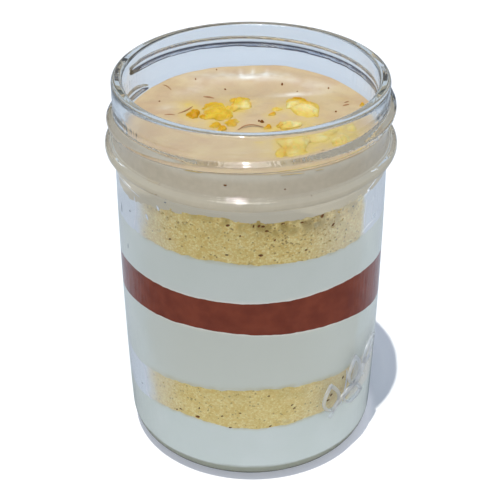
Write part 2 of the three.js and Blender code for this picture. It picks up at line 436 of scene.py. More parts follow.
def make_grains():
    """Packed grains: each random cell takes a colour between two, its edges go darker as painted
    shade in the gaps between the grains, and a share of the cells of another size are flecks of a
    third colour. Value is the height."""
    group, given, out = new_group(
        "packed_grains",
        [("Light", "Color", (1, 1, 1, 1)), ("Deep", "Color", (0.5, 0.5, 0.5, 1)),
         ("Fleck", "Color", (0.1, 0.05, 0.02, 1)), ("Scale", "Float", 1100.0),
         ("Fleck Scale", "Float", 1500.0), ("Fleck Share", "Float", 0.05)],
        [("Color", "Color"), ("Value", "Float")])
    where = add_node(group, "TexCoord").outputs["Object"]
    cells = add_node(group, "TexVoronoi", Vector=where, Scale=given.outputs["Scale"])
    pick = add_node(group, "SeparateColor", Color=cells.outputs["Color"])
    colour = mixed(group, pick.outputs[0], given.outputs["Light"], given.outputs["Deep"])
    # The edges of the cells go darker: painted shade in the gaps between grains.
    grain_gap_shade = stepped(group, cells.outputs["Distance"], 0.3, 0.85)
    darker = mixed(group, maths(group, "MULTIPLY", grain_gap_shade, 0.55), colour, given.outputs["Deep"])
    flecks = add_node(group, "TexVoronoi", Vector=where, Scale=given.outputs["Fleck Scale"])
    chance = add_node(group, "SeparateColor", Color=flecks.outputs["Color"])
    rare = maths(group, "LESS_THAN", chance.outputs[1], given.outputs["Fleck Share"])
    small = stepped(group, flecks.outputs["Distance"], 0.62, 0.34)
    fleck = maths(group, "MULTIPLY", rare, small)
    group.links.new(mixed(group, fleck, darker, given.outputs["Fleck"]), out.inputs["Color"])
    group.links.new(maths(group, "SUBTRACT", 1.0, cells.outputs["Distance"]), out.inputs["Value"])
    return group


MOTTLE = make_mottle()
GRAINS = make_grains()


def new_material(name, **settings):
    """A material with its Principled shader's own sockets set, spaces in their names as _."""
    material = bpy.data.materials.new(name)
    material.use_nodes = True
    tree = material.node_tree
    shader = tree.nodes["Principled BSDF"]
    for title, value in settings.items():
        shader.inputs[title.replace("_", " ")].default_value = value
    return material, tree, shader


def add_group(tree, group, **inputs):
    """A node group with its inputs set, spaces in their names as _."""
    node = tree.nodes.new("ShaderNodeGroup")
    node.node_tree = group
    for title, value in inputs.items():
        node.inputs[title.replace("_", " ")].default_value = value
    return node


def add_bump(tree, shader, height, distance):
    """Bumps on a shader's surface: as deep as the distance times the height."""
    bump = add_node(tree, "Bump", Height=height, Distance=distance, Strength=1.0)
    tree.links.new(bump.outputs["Normal"], shader.inputs["Normal"])


def opaque(red, green, blue):
    return (red, green, blue, 1)


def tone(tree, title):
    """A value kept at the points of the mesh."""
    return add_node(tree, "Attribute", {"attribute_name": title}).outputs["Fac"]


def coated(tree, colour, *coats):
    """A colour under coats, each laid on as far as the mesh's tone of that name says."""
    for title, coat in coats:
        colour = mixed(tree, tone(tree, title), colour, coat)
    return colour


def clouded(tree, first, second, scale, contrast):
    """The mottle between two colours, with its scale per metre and its contrast."""
    return add_group(tree, MOTTLE, First=opaque(*first), Second=opaque(*second),
                     Scale=float(scale), Contrast=float(contrast))


def mottled_material(name, first, second, scale, contrast=2.0, **settings):
    """A finish that clouds from one colour to another."""
    material, tree, shader = new_material(name, **settings)
    cloud = clouded(tree, first, second, scale, contrast)
    tree.links.new(cloud.outputs["Color"], shader.inputs["Base Color"])
    return material


def make_glass():
    """Clear glass with a faint grey-green body and faint upright dimples below the lip, which
    spread its glints. Soft light passes through it. Steep light doesn't come out through its
    outside, nor through anything below the neck, because it is thrown aside there, so that the
    whole jar casts a shadow: course is the way of the light, for shadows and bounces alone."""
    material, tree, shader = new_material(
        "clear_glass", Base_Color=opaque(0.99, 1, 0.99), Roughness=0.065, IOR=1.5,
        Transmission_Weight=1.0)
    path = add_node(tree, "LightPath")
    passing = maths(tree, "MAXIMUM", path.outputs["Is Shadow Ray"], path.outputs["Is Diffuse Ray"])
    surface = add_node(tree, "NewGeometry")
    where = add_node(tree, "TexCoord").outputs["Object"]
    aside = add_node(tree, "VectorMath", {"operation": "MULTIPLY"}, _0=where, _1=(1, 1, 0))
    outward = add_node(tree, "VectorMath", {"operation": "DOT_PRODUCT"}, _0=aside.outputs[0],
                       _1=surface.outputs["Normal"]).outputs["Value"]
    outside = maths(tree, "GREATER_THAN", outward, -0.005)
    entering = maths(tree, "SUBTRACT", outside, surface.outputs["Backfacing"])
    height = add_node(tree, "SeparateXYZ", Vector=where).outputs["Z"]
    below_neck = maths(tree, "LESS_THAN", height, NECK_Z * MM)
    stopped = maths(tree, "MAXIMUM", maths(tree, "MAXIMUM", entering, 0.0), below_neck)
    course = add_node(tree, "SeparateXYZ", Vector=surface.outputs["Incoming"]).outputs["Z"]
    steep = stepped(tree, maths(tree, "ABSOLUTE", course, 0.0), 0.84, 0.93)
    veil = mixed(tree, maths(tree, "MULTIPLY", stopped, steep), opaque(0.96, 0.97, 0.97),
                 opaque(0.03, 0.035, 0.04))
    upright = add_node(tree, "VectorMath", {"operation": "MULTIPLY"}, _0=where, _1=(1, 1, 0.25))
    dimples = add_node(tree, "TexNoise", Vector=upright.outputs[0], Scale=600.0, Detail=1.0)
    dimpled = stepped(tree, height, 118 * MM, 117 * MM)
    add_bump(tree, shader, maths(tree, "MULTIPLY", dimples.outputs["Fac"], dimpled), 0.12 * MM)
    clear = add_node(tree, "BsdfTransparent", Color=veil)
    both = add_node(tree, "MixShader", _0=passing, _1=shader.outputs[0], _2=clear.outputs[0])
    out = tree.nodes["Material Output"]
    tree.links.new(both.outputs[0], out.inputs["Surface"])
    body = add_node(tree, "VolumeAbsorption", Color=opaque(0.45, 0.52, 0.40), Density=12.0)
    tree.links.new(body.outputs[0], out.inputs["Volume"])
    return material


GLASS = make_glass()
RAISED_GLASS = mottled_material("raised_glass", (0.93, 0.95, 0.98), (0.98, 0.99, 1), 400,
                                Roughness=0.28, IOR=1.5, Transmission_Weight=0.8)


def make_cream():
    """Whipped cream, faintly clouded: creamier where its mesh says so, dusted with crumb, with a
    painted light line along the chocolate, and dark olive at its foot, which is seen through the
    edge of the base: painted shade with the tint of the thick glass."""
    material, tree, shader = new_material("whipped_cream", Roughness=0.45, Specular_IOR_Level=0.0)
    cloud = clouded(tree, (0.74, 0.77, 0.71), (0.79, 0.81, 0.76), 90, 2)
    # Of the coats, the third is a painted light line along the chocolate's edges, and the last is
    # painted shade, with the tint of the thick base, at the foot.
    colour = coated(tree, cloud.outputs["Color"], ("creamy", opaque(0.72, 0.715, 0.625)),
                    ("dusted", opaque(0.62, 0.56, 0.38)), ("warm", opaque(0.97, 0.90, 0.80)),
                    ("deep", opaque(0.385, 0.38, 0.30)))
    tree.links.new(colour, shader.inputs["Base Color"])
    return material


CREAM = make_cream()
CHOCOLATE = mottled_material("milk_chocolate", (0.212, 0.043, 0.022), (0.275, 0.060, 0.030), 220,
                             2.8, Roughness=0.5, Specular_IOR_Level=0.0)


STAIN = opaque(0.60, 0.44, 0.095)


def make_mousse():
    """Beige mousse: clouded, paler where it is pressed on the glass and paler still low down on the
    side, as painted light under the bead, with the tones of its mesh laid over it: a yellow stain
    round the toppings, pale patches, a painted sheen on the ridge at the back, and hollows darkened
    with painted shade."""
    material, tree, shader = new_material(
        "beige_mousse", Roughness=0.36, Specular_IOR_Level=0.5)
    top = clouded(tree, (0.55, 0.42, 0.235), (0.495, 0.345, 0.20), 150, 3.4)
    side = clouded(tree, (0.60, 0.505, 0.38), (0.54, 0.455, 0.335), 500, 2.4)
    height = add_node(tree, "SeparateXYZ", Vector=add_node(tree, "TexCoord").outputs["Object"])
    # Painted light: the side goes paler low down, below the bead.
    painted_light_low_down = stepped(tree, height.outputs["Z"], 103.5 * MM, 99 * MM)
    pressed = mixed(tree, painted_light_low_down, side.outputs["Color"], opaque(0.69, 0.60, 0.455))
    # Painted shade darkens the hollows, and the pale coat holds a painted sheen on the ridge at the
    # back as well as pale patches.
    colour = coated(tree, top.outputs["Color"], ("side", pressed),
                    ("hollow", opaque(0.47, 0.35, 0.21)), ("stain", STAIN),
                    ("pale", opaque(0.80, 0.76, 0.66)))
    tree.links.new(colour, shader.inputs["Base Color"])
    add_bump(tree, shader, top.outputs["Value"], 0.12 * MM)
    return material


MOUSSE = make_mousse()


def make_crumb():
    """Ground biscuit: fine grains clouded from tan to brown and finely flecked, plainer, darker
    along the top (the bead's painted shadow in the upper layer, a toasted brown in the lower), or
    under a film of cream where the mesh says so, with a grainy bump."""
    material, tree, shader = new_material(
        "biscuit_crumb", Roughness=0.8, Specular_IOR_Level=0.0)
    grains = add_group(tree, GRAINS, Light=opaque(1.0, 0.87, 0.45), Deep=opaque(0.80, 0.55, 0.175),
                       Fleck=opaque(0.44, 0.29, 0.11), Scale=1900.0, Fleck_Scale=1500.0,
                       Fleck_Share=0.06)
    cloud = clouded(tree, (1, 1, 1), (0.93, 0.90, 0.80), 260, 3.6)
    ground = add_node(tree, "Mix", {"data_type": "RGBA", "blend_type": "MULTIPLY"}, _0=1.0,
                      _6=grains.outputs["Color"], _7=cloud.outputs["Color"]).outputs[2]
    # The second coat is the bead's painted shadow along the top of the upper layer, and a browner
    # top in the lower.
    colour = coated(tree, ground, ("even", opaque(0.88, 0.68, 0.30)),
                    ("toasted", opaque(0.49, 0.345, 0.11)), ("film", opaque(0.82, 0.85, 0.90)))
    tree.links.new(colour, shader.inputs["Base Color"])
    add_bump(tree, shader, grains.outputs["Value"], 0.08 * MM)
    return material


CRUMB = make_crumb()
FLAKE = mottled_material("dark_flake", (0.13, 0.045, 0.012), (0.25, 0.10, 0.03), 700,
                         Roughness=0.8, Specular_IOR_Level=0.0)
FINE_FLAKE = mottled_material("fine_flake", (0.46, 0.31, 0.09), (0.70, 0.50, 0.19), 300,
                              Roughness=0.7)
STRAND = mottled_material("fine_strand", (0.25, 0.115, 0.045), (0.40, 0.20, 0.08), 300,
                          Roughness=0.7)
SLATE = mottled_material("slate_mark", (0.16, 0.18, 0.21), (0.26, 0.29, 0.33), 300, Roughness=0.7)
# Bluish white and brighter than the cream: painted highlight.
CREAM_HIGHLIGHT_DAB = mottled_material("cream_and_highlight_dab", (0.86, 0.87, 0.93), (0.93, 0.93, 0.97), 200, Roughness=0.4)


def make_candied():
    """Translucent candied fruit: golden, going amber and pale where its mesh says so, and thinning
    into the mousse's yellow stain at its foot."""
    material, tree, shader = new_material(
        "candied_fruit", Roughness=0.5, Specular_IOR_Level=0.15, Subsurface_Weight=0.25,
        Subsurface_Scale=0.001)
    cloud = clouded(tree, (0.54, 0.32, 0.012), (0.64, 0.44, 0.04), 420, 2.6)
    colour = coated(tree, cloud.outputs["Color"], ("pale", opaque(0.66, 0.575, 0.245)),
                    ("amber", opaque(0.52, 0.26, 0.001)), ("foot", STAIN))
    tree.links.new(colour, shader.inputs["Base Color"])
    add_bump(tree, shader, cloud.outputs["Value"], 0.08 * MM)
    return material


CANDIED = make_candied()


# ---- the jar ----

def thread_rise(angle, z):
    """Height of the thread's ridge over the neck, across a line that climbs one pitch a turn, less
    a steeper lead-in and a bell-shaped sag: full and abrupt under the line, and half a parabola
    with half an ease over it. Its half width falls to 0 at both ends as the square root of the way
    to the end, and its low end keeps to its lower edge."""
    rise = np.zeros(np.broadcast(angle, z).shape)
    for turns in (-1, 0, 1):
        along = angle + 360 * turns
        lead_in = np.clip(along / THREAD_START, 0, 1) ** 1.15
        middle = THREAD_FRONT_Z + THREAD_PITCH * along / 360 - THREAD_LEAD_IN * lead_in
        middle = middle - THREAD_SAG * np.exp(
            -((along - THREAD_SAG_ANGLE) / THREAD_SAG_WIDTH) ** 2)
        from_start = np.clip((along - THREAD_START) / THREAD_TAPER, 0, 1)
        from_end = np.clip((THREAD_END - along) / THREAD_TAPER, 0, 1)
        half = THREAD_HALF_WIDTH * np.sqrt(np.minimum(from_start, from_end))
        middle = middle - 0.7 * (THREAD_HALF_WIDTH - half) * (from_start < 1)
        full = ease(0, 0.35, np.minimum(from_start, from_end))
        off = np.clip(np.abs(z - middle) / np.maximum(half, 0.01), 0, 1)
        across = np.where(z < middle, (1 - off ** 4) ** 0.6,
                          0.5 * (1 - off ** 2) + 0.5 * ease(1, 0, off))
        rise = np.maximum(rise, (THREAD_CREST - NECK_RADIUS) * full * across)
    return rise


SPRIG_ANGLE = 50
SPRIG_Z = 27.5
SPRIG_LEAN = math.radians(38)
SPRIG_LENGTH = 23.0
SPRIG_BOW = 1.6
SPRIG_STEM = 0.9  # half widths of its lines
SPRIG_VEIN = 0.72
# Leaves: where they leave the stem as a share of its length, their turn from it, their length.
SPRIG_LEAVES = [(0.10, 60, 11), (0.36, -56, 11), (0.60, 54, 11), (0.92, 0, 10)]


def sprig_line(s, t, half_width):
    """A raised round line on the wall, half set into it, through points at s along the sprig and
    t across it."""
    along = s * math.cos(SPRIG_LEAN) - t * math.sin(SPRIG_LEAN)
    z = SPRIG_Z + s * math.sin(SPRIG_LEAN) + t * math.cos(SPRIG_LEAN)
    angle = SPRIG_ANGLE + np.degrees(along / WIDEST_BODY)
    path = place(body_radius(z) + 0.1 * half_width, angle, z)
    outward = path * [1, 1, 0]
    outward /= np.linalg.norm(outward, axis=1, keepdims=True)
    share = np.linspace(0, 1, len(s))
    return swept(path, half_width * (0.5 + 0.5 * np.sin(np.pi * share) ** 0.4), 16, facing=outward)


def build_sprig():
    """A raised leaf sprig drawn in rounded lines: a curved stem, which is one wave of a sine, and
    the outline of each leaf, whose half width is a sine arch over its length."""
    share = np.linspace(0, 1, 50)
    lines = [sprig_line((share - 0.5) * SPRIG_LENGTH, SPRIG_BOW * np.sin(2 * np.pi * share),
                        SPRIG_STEM)]
    for at, turn, leaf in SPRIG_LEAVES:
        a = math.radians(turn)
        forward = np.sin(np.pi * share)
        half = 0.29 * leaf * np.sin(np.pi * forward ** 0.8) * np.where(share < 0.5, 1, -1)
        s = (at - 0.5) * SPRIG_LENGTH + leaf * forward * math.cos(a) - half * math.sin(a)
        t = (SPRIG_BOW * math.sin(2 * math.pi * at) + leaf * forward * math.sin(a)
             + half * math.cos(a))
        lines.append(sprig_line(s, t, SPRIG_VEIN))
    put_mesh("raised_sprig", *joined(lines), RAISED_GLASS, "glass")


def arc_rows(centre, half_size, start, end, steps):
    """Points of an elliptical arc in the (radius, height) plane."""
    a = np.radians(np.linspace(start, end, steps + 1))
    return np.stack([centre[0] + half_size[0] * np.cos(a), centre[1] + half_size[1] * np.sin(a)], 1)


def side_rows(radius_at, start, end, spacing):
    """Points of a side whose radius is a function of height, about a spacing apart."""
    z = np.linspace(start, end, max(2, round(abs(end - start) / spacing) + 1))
    return np.stack([radius_at(z), z], 1)


def build_jar():
    """The jar's section carried round its axis: base with a shallow push-up, heel, straight side,
    bead, fillet over it, neck with its thread, rounded lip, inner wall and floor. The thread, the
    ridge, the groove, low waves on the bead and thread, and a faint ripple add to the radius,
    which never passes the bead's."""
    base = np.array([[9, PUSH_UP], [18, 1.05], [24, 0.95], [27.5, 0.75], [29, 0.4], [30, 0.12],
                     [31, 0], [FOOT_RADIUS - 0.6, 0]])
    heel_width = body_radius(HEEL_HEIGHT) - FOOT_RADIUS
    heel = arc_rows((FOOT_RADIUS, HEEL_HEIGHT), (heel_width, HEEL_HEIGHT), -90, 0, 12)
    body = np.concatenate([
        side_rows(body_radius, HEEL_HEIGHT, GROOVE_FROM, 1.6)[1:],
        side_rows(body_radius, GROOVE_FROM, SHOULDER_Z, 0.22)[1:]])
    bead = arc_rows((BEAD_ROOT, BEAD_Z), (BEAD_RADIUS - BEAD_ROOT, BEAD_HALF_HEIGHT), -90, 76, 14)
    fillet = arc_rows((BEAD_ROOT + BEAD_FILLET, BEAD_Z + BEAD_HALF_HEIGHT + BEAD_FILLET),
                      (BEAD_FILLET, BEAD_FILLET), 270, 180, 5)
    neck = side_rows(lambda z: NECK_RADIUS + 0 * z, NECK_Z, JAR_HEIGHT - LIP_ROUND, 0.27)
    lip = arc_rows((NECK_RADIUS - LIP_ROUND, JAR_HEIGHT - LIP_ROUND), (LIP_ROUND, LIP_ROUND),
                   0, 90, 8)
    inner_lip = arc_rows((inner_radius(JAR_HEIGHT) + LIP_INNER_ROUND, JAR_HEIGHT - LIP_INNER_ROUND),
                         (LIP_INNER_ROUND, LIP_INNER_ROUND), 90, 180, 6)
    wall = side_rows(inner_radius, JAR_HEIGHT - LIP_INNER_ROUND, FLOOR_Z + INNER_HEEL_HEIGHT, 3.6)
    fall = np.sin(np.linspace(0, np.pi / 2, 12))
    inner_heel_z = FLOOR_Z + INNER_HEEL_HEIGHT * (1 - fall)
    inner_heel = np.stack([inner_radius(inner_heel_z), inner_heel_z], 1)
    floor = np.array([[r, FLOOR_Z] for r in (24, 18, 12, 6)])
    rows = np.concatenate([base, heel, body, bead, fillet, neck[:-1], lip, inner_lip, wall[1:-1],
                           inner_heel, floor])
    outer_rows = sum(len(part) for part in (base, heel, body, bead, fillet, neck, lip)) - 1
    radius, z = rows[:, :1], rows[:, 1:]
    angle = np.linspace(0, 360, 360, endpoint=False)[None, :]
    outside = np.arange(len(rows))[:, None] < outer_rows
    on_neck = outside & (z > NECK_Z) & (z <= JAR_HEIGHT - LIP_ROUND + 0.01)
    ripple_at = place(radius, angle, z * 0.6)
    ripple = 0.035 * soft_noise(ripple_at, 9, 11) * ease(2, 12, z) * ease(JAR_HEIGHT, 119, z)
    rise = np.where(on_neck, thread_rise(angle, z), 0)
    under_bead = (RIDGE_HEIGHT * np.exp(-((z - RIDGE_Z) / RIDGE_HALF_WIDTH) ** 2)
                  - GROOVE_DEPTH * np.exp(-((z - GROOVE_Z) / GROOVE_HALF_WIDTH) ** 2))
    rise = rise + np.where(outside, under_bead, 0)
    on_bead = outside & (z >= SHOULDER_Z) & (z <= NECK_Z)
    waves = np.where(on_neck, ease(0, 0.6, thread_rise(angle, z)), 0) + np.where(on_bead, 1, 0)
    waves = waves * 0.055 * soft_noise(place(radius, angle, 0.3 * z), 2.2, 12)
    radius = np.minimum(radius + rise + waves + np.where(on_bead, 0, ripple), BEAD_RADIUS)
    grid = place(radius, angle, z)
    points, faces = closed_grid(grid, ((0, 0, PUSH_UP), (0, 0, FLOOR_Z)))
    put_mesh("glass_jar", points, faces, GLASS, "glass", ["jar"])


# ---- the layers ----

def boundary_level(n, x, y):
    """The height of a boundary, counted from the bottom, with its ragged noise. The last is the
    top of the mousse."""
    if n == len(BOUNDARIES) - 1:
        return mousse_height(x, y)
    at = np.stack([x, y, 0 * x], axis=-1)
    return boundary_height(BOUNDARIES[n], x, y) + UNEVEN[n] * layered_noise(at, 2.2, 50 + n)


def rings_over(n, edge, shares):
    """Rings over a boundary: an edge drawn in towards the axis by each share of its radius."""
    x, y = edge[:, 0] * np.array(shares)[:, None], edge[:, 1] * np.array(shares)[:, None]
    return np.stack([x, y, boundary_level(n, x, y)], axis=-1)


def build_layer(n, name, node, material, slot, columns, spacing, top_rings, tones, relief):
    """The disc between boundary n and the next: rings over its underside, rows up its side just
    inside the glass, and rings over its top. relief pulls its side in."""
    lower, upper = BOUNDARIES[n:n + 2]
    is_top = n == len(BOUNDARIES) - 2
    angle = np.linspace(0, 360, columns, endpoint=False)
    x, y = place(WIDEST_BODY - WALL, angle, 0)[:, :2].T
    low, high = boundary_level(n, x, y), boundary_level(n + 1, x, y)
    share = np.linspace(0, 1, max(4, round((upper[0] - lower[0]) / spacing)) + 1)
    if lower is FLOOR:
        share = 1 - np.cos(share * np.pi / 2)
    close = CRISP_EDGE / (upper[0] - lower[0])
    share = np.concatenate([[0], [] if lower is FLOOR else [close], share[1:-1], [1 - close, 1]])
    z = low + (high - low) * share[:, None]
    radius = filling_radius(z)
    side = place(radius, angle[None, :], z)
    if relief is not None:
        kept = ease(0, 0.9, np.minimum(z - low, high - z))
        side = place(radius - relief(side) * kept, angle[None, :], z)
    if is_top:
        side[-1, :, 2] = mousse_height(side[-1, :, 0], side[-1, :, 1])

    below, above = rings_over(n, side[0], DISC_RINGS), rings_over(n + 1, side[-1], top_rings)
    grid = np.concatenate([below[::-1], side, above])
    zero = np.zeros(1)
    top_z = mousse_height(zero, zero) if is_top else boundary_height(upper, zero, zero)
    poles = [(0, 0, float(height[0])) for height in (boundary_height(lower, zero, zero), top_z)]
    points, faces = closed_grid(grid, poles)
    row = np.repeat(np.arange(len(grid) - 1), columns)
    smooth = (row >= len(below)) & ((row < len(below) + len(side) - 1) | is_top)
    toned = tones(points, name) if tones else None
    put_mesh(name, points, faces, material, slot, [node], toned, smooth)


def crumb_relief(points):
    """How far the crumb's side is drawn in: shallow between the grains, with a few deeper pits
    where the grains don't touch the glass."""
    near, value = grain_noise(points, 0.9, 31)
    pits = ease(0.62, 0.9, soft_noise(points, 2.6, 37))
    return 0.1 * ease(0.2, 0.8, near) + 0.4 * pits * value


def film_over(points):
    """How much cream films over the crumb at both sides of the front, from 0 to 1: a thin haze
    that thickens at once past a ragged edge, and goes back to 0 behind."""
    angle = angle_of(points[:, 0], points[:, 1])
    z = points[:, 2]
    ragged = 1.6 * layered_noise(points, 5, 71)
    turned_in = np.where(angle > 0, 5 * ease(36, 20, z), 0)
    past = np.abs(angle) + ragged + turned_in
    haze = np.where(angle > 0, 0.32 * ease(14, 50, past), 0.38 * ease(28, 54, past))
    edge = np.where(angle > 0, ease(53.0, 57.8, past), ease(47.5, 59.5, past))
    near = haze + (1 - haze) * edge
    at_side = ease(0.93, 0.985, np.hypot(points[:, 0], points[:, 1]) / inner_radius(z))
    thin = 1 - 0.3 * ((angle > 0) & (z < 45))
    return near * ease(112, 92, past) * at_side * thin


def crumb_tones(points, name):
    """The film of cream, a darker band along the top, broken up in patches and strongest in the
    upper crumb, where it is the bead's painted shadow, while in the lower it is a faint toasted
    brown, and how far one even colour covers the grains."""
    angle = angle_of(points[:, 0], points[:, 1])
    upper = "upper" in name
    top = boundary_height(UPPER_CRUMB_TOP if upper else LOWER_CRUMB_TOP, points[:, 0], points[:, 1])
    patchy = np.clip(0.5 + 0.9 * layered_noise(points, 2.2, 73), 0, 1)
    # The band is the bead's painted shadow in the upper crumb, and a faint toasted top in the
    # lower.
    band = ease(-8, -0.5, points[:, 2] - top) * (0.3 + 0.7 * np.exp(-(apart(angle, 20) / 32) ** 2))
    return {"film": film_over(points), "toasted": (1.25 if upper else 0.3) * band * patchy,
            "even": np.full(len(points), 0.1 if upper else 0.28)}


def cream_tones(points, name):
    """Crumb dusted into the cream next to the crumb layers, in patches, a painted light line right
    beside the chocolate, a creamier colour over the lowest layer, weaker in the upper one, and a
    dark olive foot round the glass floor: painted shade with the tint of the thick base."""
    near, by_chocolate = 9.0, 9.0
    for boundary in (LOWER_CRUMB_TOP, UPPER_CRUMB_BOTTOM, LOWER_CRUMB_BOTTOM):
        away = np.abs(points[:, 2] - boundary_height(boundary, points[:, 0], points[:, 1]))
        near = np.minimum(near, away * (1.0 if boundary is LOWER_CRUMB_TOP else 1.8))
    for boundary in (CHOCOLATE_BOTTOM, CHOCOLATE_TOP):
        away = np.abs(points[:, 2] - boundary_height(boundary, points[:, 0], points[:, 1]))
        by_chocolate = np.minimum(by_chocolate, away)
    patchy = np.clip(0.55 + 0.6 * layered_noise(points, 3, 77), 0, 1)
    bare = 1 - film_over(points)
    return {"dusted": ease(2.0, 0.1, near) * patchy * bare,
            # painted light line beside the chocolate
            "warm": 0.8 * ease(0.8, 0.2, by_chocolate) * bare,
            "creamy": ease(18, 40, points[:, 2]) * bare * (0.4 if "upper" in name else 1),
            # painted shade and the base's tint at the foot
            "deep": ease(FLOOR_Z + 0.5, FLOOR_Z + 0.2, points[:, 2])}


# Low swirls over the mousse: height, size, seed.
SWIRLS = [(0.3, 13, 41), (0.12, 5, 42), (0.05, 1.9, 43), (0.03, 0.9, 44)]


def mousse_height(x, y):
    """The top of the mousse: its boundary with low swirls, a shallow dip and a soft ridge towards
    the back, fine ripples, and a rim drawn up the glass, highest at the front."""
    at = np.stack([x, y, 0 * x], axis=-1)
    r = np.hypot(x, y)
    angle = angle_of(x, y)
    swirl = sum(rise * soft_noise(at, size, seed) for rise, size, seed in SWIRLS)
    dip = -0.9 * np.exp(-((x - 4) / 15) ** 2 - ((y - 20) / 5.5) ** 2)
    ridge = 0.8 * np.exp(-((x + 1) / 17) ** 2 - ((y - 28.5) / 3.2) ** 2)
    near_rim = np.exp(-(FOOD_RADIUS - np.minimum(r, FOOD_RADIUS)) / 1.3)
    rim = (0.35 + 1.9 * np.exp(-(angle / 80) ** 2)) * near_rim
    return boundary_height(MOUSSE_TOP, x, y) + swirl + dip + ridge + rim


def oval_tones(points, broken, kinds):
    """For each named list of soft ovals, their sum at the points, broken up: an oval is a bell
    over both of its axes, turned, times its strength."""
    tones = {}
    for title, ovals in kinds:
        total = 0
        for at, size, turn, strength in ovals:
            c, s = math.cos(math.radians(turn)), math.sin(math.radians(turn))
            x, y = points[:, 0] - at[0], points[:, 1] - at[1]
            along, aside = x * c + y * s, y * c - x * s
            total = total + strength * np.exp(-(along / size[0]) ** 2 - (aside / size[1]) ** 2)
        tones[title] = np.clip(total * broken, 0, 1)
    return tones


# Soft ovals on the mousse: middle, half sizes, turn, strength.
STAINS = [((-10, 4.5), (8, 6), 60, 0.9), ((-4, 9), (6, 4.5), 75, 0.8),
          ((-17.6, 2.5), (4, 3.4), 0, 0.8), ((-20, 8.5), (3.6, 2.8), 20, 0.75),
          ((15.6, 7), (8.5, 5.5), 118, 0.7), ((7.9, 6.6), (2.2, 2), 0, 0.8),
          ((6, 2), (2.8, 2), 30, 0.6), ((-8.5, -5.5), (5, 3.4), 0, 0.75),
          ((11.6, -4.6), (6.5, 4), 10, 0.8), ((11, -17), (10, 7), 112, 0.85),
          ((20, -12), (10, 5), 20, 0.8), ((27, -9), (8, 5), 40, 0.7), ((2, -13), (5, 4), 0, 0.35),
          ((-21, 27), (7, 4), 30, 0.3), ((27, 16), (6, 4), -40, 0.3), ((-22, 10), (5, 3), 30, 0.4)]
# The first six are a painted sheen, on the ridge at the back and in a streak before it; the rest
# are pale patches.
PALE_PATCHES_AND_SHEEN = [((0.5, 30), (8.5, 3), 0, 0.9), ((1.5, 28.6), (6.5, 1.1), 2, 0.7),
               ((-3.2, 32), (0.7, 3.4), 4, 0.7), ((0.6, 33.5), (0.6, 2.6), -3, 0.7),
               ((5, 32.5), (0.7, 2.6), -6, 0.6), ((14.6, 18.4), (5.4, 1.4), 3, 0.8),
               ((9.5, 16.8), (4, 0.9), 4, 0.25), ((-25, 8), (3.5, 2.5), 20, 0.35),
               ((12, 28), (8, 2.4), -20, 0.3), ((-19, 20), (5, 2.5), 30, 0.25),
               ((-15, 29), (9, 5), 14, 0.35), ((22, 22), (6, 4), -30, 0.3)]
# Painted shade: darker hollows, the largest in the dip before the ridge at the back.
PAINTED_SHADE_HOLLOWS = [((4, 22), (14, 4.2), 0, 0.8), ((-2, 17.5), (12, 2.5), 0, 0.35),
           ((1, -1), (5, 4), 0, 0.35), ((-14, -4), (5, 3), 30, 0.3), ((24, 1), (5, 3), 30, 0.3)]


def mousse_tones(points, _):
    """Which parts are side or top, stained, pale or sheened with painted highlight, or hollow and
    darkened with painted shade. The side goes paler near the top as painted light, where the glass
    of the thread lights it."""
    x, y, z = points.T
    r = np.hypot(x, y)
    below_rim = mousse_height(x, y) - z
    on_top = ease(1.004, 1.001, r / inner_radius(z)) * (z > TOP_FROM)
    on_top = np.maximum(on_top, ease(0.09, 0.06, below_rim) * (z > TOP_FROM))
    broken = 0.8 + 0.45 * soft_noise(points, 2.4, 75) + 0.2 * soft_noise(points, 1.1, 76)
    tones = oval_tones(points, broken,
                       (("stain", STAINS), ("pale", PALE_PATCHES_AND_SHEEN), ("hollow", PAINTED_SHADE_HOLLOWS)))
    tones = {title: tone * on_top for title, tone in tones.items()}
    # Painted light on the side near the top.
    tones["pale"] = tones["pale"] + 0.36 * ease(108.6, 111.4, z) * (1 - on_top)
    return {"side": 1 - on_top, **tones}


# What each kind of layer is made with: material, slot, columns, spacing of rows, rings over the
# top as shares of the radius, tones, relief.
DISC_RINGS = (0.96, 0.8, 0.45)
CREAM_KIND = (CREAM, "cream", 360, 0.7, DISC_RINGS, cream_tones, None)
CRUMB_KIND = (CRUMB, "crumb", 720, 0.36, DISC_RINGS, crumb_tones, crumb_relief)
CHOCOLATE_KIND = (CHOCOLATE, "chocolate", 360, 1.0, DISC_RINGS, None, None)
MOUSSE_KIND = (MOUSSE, "mousse", 400, 0.6, np.linspace(0.994, 0.01, 100), mousse_tones, None)
LAYERS = [("cream_floor_layer", "cream_bottom", CREAM_KIND),
          ("crumb_lower_layer", "crumb_lower", CRUMB_KIND),
          ("cream_middle_layer", "cream_middle", CREAM_KIND),
          ("chocolate_layer", "chocolate", CHOCOLATE_KIND),
          ("cream_upper_layer", "cream_upper", CREAM_KIND),
          ("crumb_upper_layer", "crumb_upper", CRUMB_KIND),
          ("mousse_layer", "mousse", MOUSSE_KIND)]


def build_layers():
    for n, (name, node, kind) in enumerate(LAYERS):
        build_layer(n, name, node, *kind)


# ---- toppings on the mousse ----

